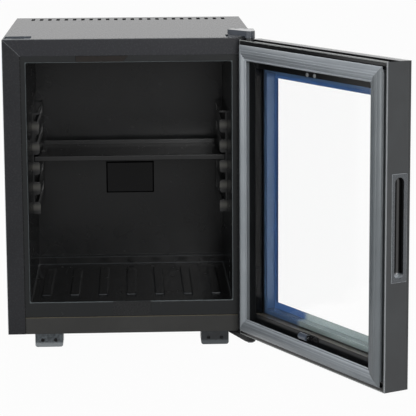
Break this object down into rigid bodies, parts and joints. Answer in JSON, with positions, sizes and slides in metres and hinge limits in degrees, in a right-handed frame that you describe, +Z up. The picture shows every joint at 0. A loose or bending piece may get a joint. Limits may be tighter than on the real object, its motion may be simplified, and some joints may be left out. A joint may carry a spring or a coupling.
{
  "type": "minibar fridge",
  "caption": "Small glass-door cabinet fridge with a shelf on side rails, a gasketed hinged door with a recessed edge grip, and an absorption cooling unit in an open rear bay.",
  "frame": {"origin": "middle of the cabinet's footprint, on the floor that the feet stand on", "axes": "+X to the right as seen from the front, +Y from the front into the cabinet, +Z up"},
  "size_m": [0.5972, 0.7954, 0.5145],
  "materials": {
    "case_paint": "satin anthracite powder paint",
    "bracket_paint": "grey painted zinc",
    "galvanised": "spangled zinc coat",
    "foam": "rigid foam",
    "liner_plastic": "black formed sheet",
    "shelf_plastic": "black moulded plastic",
    "aluminium": "plain",
    "door_plastic": "fine grained dark grey",
    "trim_plastic": "black moulded plastic",
    "clear_glass": "float glass with a dark printed border",
    "lens": "smoked",
    "sealant": "black",
    "gasket": "grey soft strip",
    "ferrite": "bonded ferrite",
    "keeper_steel": "black",
    "bright_steel": "bright plated",
    "catch_steel": "black",
    "bush_plastic": "natural black",
    "foot_plastic": "grey moulded",
    "dark_tube": "black stoved",
    "grey_plastic": "moulded",
    "circuit_board": "coated board",
    "rubber_lead": "black sheath"
  },
  "bodies": {
    "cabinet": {"outer_case": "case_paint", "base_pan": "case_paint", "back_plate": "galvanised", "insulation_foam": "foam", "inner_liner": "liner_plastic", "evaporator_block": "aluminium", "rear_wall_cover": "liner_plastic", "drain_tube": "grey_plastic", "drip_tray": "grey_plastic", "shelf_rail_left": "liner_plastic", "shelf_rail_right": "liner_plastic", "keeper_plate": "keeper_steel", "lamp_lens": "lens", "lamp_board": "circuit_board", "hinge_seat_left": "case_paint", "hinge_seat_right": "case_paint", "hinge_bracket_top": "bracket_paint", "hinge_bracket_bottom": "bracket_paint", "hinge_pin_top": "bright_steel", "hinge_pin_bottom": "bright_steel", "hinge_screws": "bright_steel", "foot_front_left": "foot_plastic", "foot_front_right": "foot_plastic", "foot_rear_left": "foot_plastic", "foot_rear_right": "foot_plastic", "foot_screws": "bright_steel", "boiler_jacket": "galvanised", "heater_cartridge": "bright_steel", "heater_lead": "rubber_lead", "condenser": "dark_tube", "absorber_coil": "dark_tube", "absorber_vessel": "dark_tube", "evaporator_tube": "dark_tube", "control_box": "grey_plastic", "power_inlet": "grey_plastic", "unit_straps": "galvanised", "unit_screws": "bright_steel"},
    "door": {"frame_top": "door_plastic", "frame_bottom": "door_plastic", "frame_hinge_stile": "door_plastic", "frame_handle_stile": "door_plastic", "glass_outer": "clear_glass", "glass_inner": "clear_glass", "glass_spacer": "aluminium", "edge_sealant": "sealant", "trim_top": "trim_plastic", "trim_bottom": "trim_plastic", "trim_hinge_side": "trim_plastic", "trim_handle_side": "trim_plastic", "door_gasket": "gasket", "gasket_magnets": "ferrite", "handle_cup": "door_plastic", "hinge_bush_top": "bush_plastic", "hinge_bush_bottom": "bush_plastic", "catch_bracket": "catch_steel", "catch_pin": "bright_steel", "door_screws": "bright_steel"},
    "shelf_tray": {"shelf": "shelf_plastic"},
    "roller": {"catch_roller": "bright_steel"}
  },
  "joints": [
    {"name": "door_hinge", "type": "hinge", "parent": "cabinet", "child": "door", "pos_m": [0.1915, -0.232, 0.262], "axis": [0, 0, 1], "range_deg": [-117.5, 12.5]},
    {"name": "shelf_slide", "type": "slide", "parent": "cabinet", "child": "shelf_tray", "axis": [0, -1, 0], "range_m": [0, 0.1]},
    {"name": "roller_spin", "type": "hinge", "parent": "door", "child": "roller", "pos_m": [0.26167, -0.40404, 0.0615], "axis": [0.4617, -0.887, 0], "continuous": true}
  ]
}
